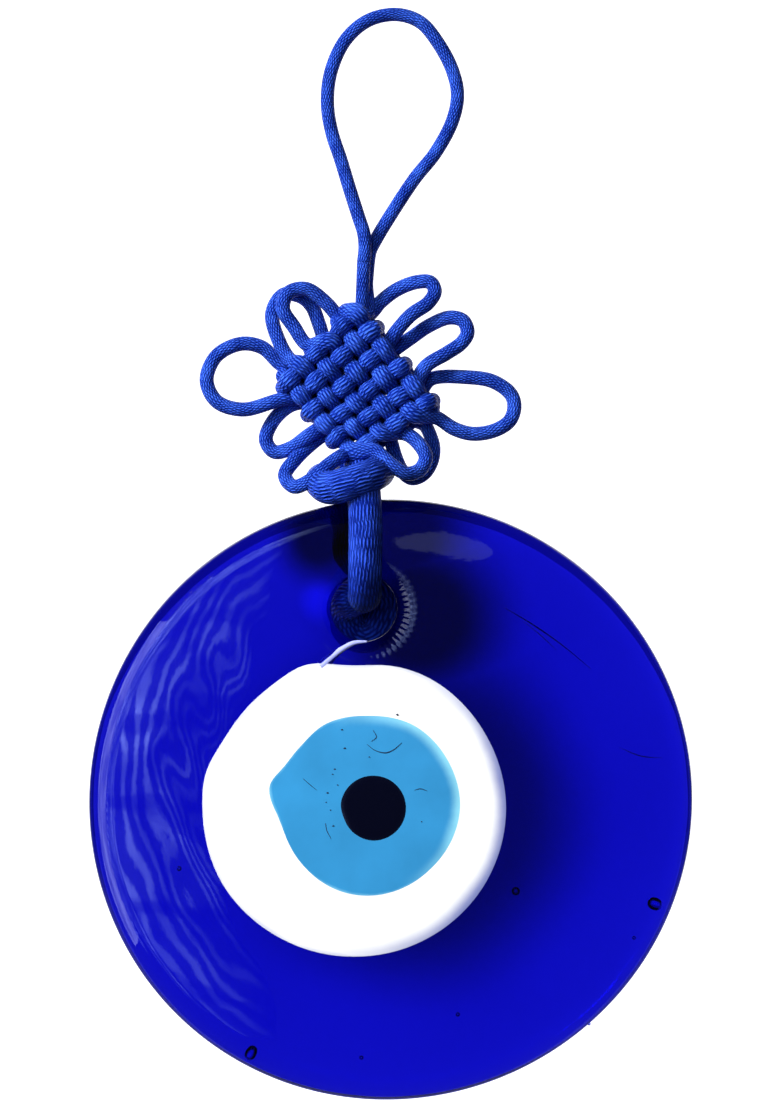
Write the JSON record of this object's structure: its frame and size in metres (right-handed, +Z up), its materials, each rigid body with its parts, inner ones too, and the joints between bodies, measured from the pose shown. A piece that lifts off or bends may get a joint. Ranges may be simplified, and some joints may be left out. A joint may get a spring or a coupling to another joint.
{
  "type": "evil eye ornament",
  "caption": "Round blue glass disc with a layered glass eye, hung from a thick lanyard below a flat woven cord knot with looped ears and a hanging loop.",
  "frame": {"origin": "the point where the hanging loop rests on its hook, at the top of the ornament", "axes": "+Z up, the eye faces -Y, +X to the right as seen from the front, +Y into the wall"},
  "size_m": [0.085, 0.021, 0.1539],
  "materials": {
    "satin_cord": "satin rattail cord, fine twisted ribs with a soft sheen",
    "lanyard_cord": "thick satin cord with coarse lengthwise ribs and a soft sheen",
    "cobalt_glass": "fire-polished transparent cobalt glass with small bubbles",
    "white_glass": "fire-polished opaque white glass",
    "light_blue_glass": "fire-polished milky light blue glass with dark flecks",
    "black_glass": "fire-polished black glass"
  },
  "bodies": {
    "hanging_loop": {"hanging_loop": "satin_cord"},
    "neck": {"neck_strands": "satin_cord"},
    "knot": {"knot_weave": "satin_cord", "knot_top_strands": "satin_cord", "ear_left": "satin_cord", "ear_upper_left_outer": "satin_cord", "ear_upper_left_inner": "satin_cord", "ear_upper_right_a": "satin_cord", "ear_upper_right_b": "satin_cord", "ear_right": "satin_cord", "ear_lower_right_outer": "satin_cord", "ear_lower_right_inner": "satin_cord", "ear_lower_left_a": "satin_cord", "ear_lower_left_b": "satin_cord", "knot_tails": "satin_cord", "lanyard": "lanyard_cord", "lanyard_wrap": "lanyard_cord"},
    "disc": {"glass_disc": "cobalt_glass", "eye_white": "white_glass", "eye_iris": "light_blue_glass", "eye_pupil": "black_glass"}
  },
  "joints": [
    {"name": "loop_bend", "type": "hinge", "parent": "hanging_loop", "child": "neck", "pos_m": [-0.004, 0, -0.032], "axis": [1, 0, 0], "range_deg": [-75, 75]},
    {"name": "neck_twist", "type": "hinge", "parent": "neck", "child": "knot", "pos_m": [-0.0046, 0, -0.039], "axis": [0, 0, 1], "range_deg": [-90, 90]},
    {"name": "disc_swing", "type": "hinge", "parent": "knot", "child": "disc", "pos_m": [-0.0046, 0, -0.0807], "axis": [0, 1, 0], "range_deg": [-12, 12]}
  ]
}
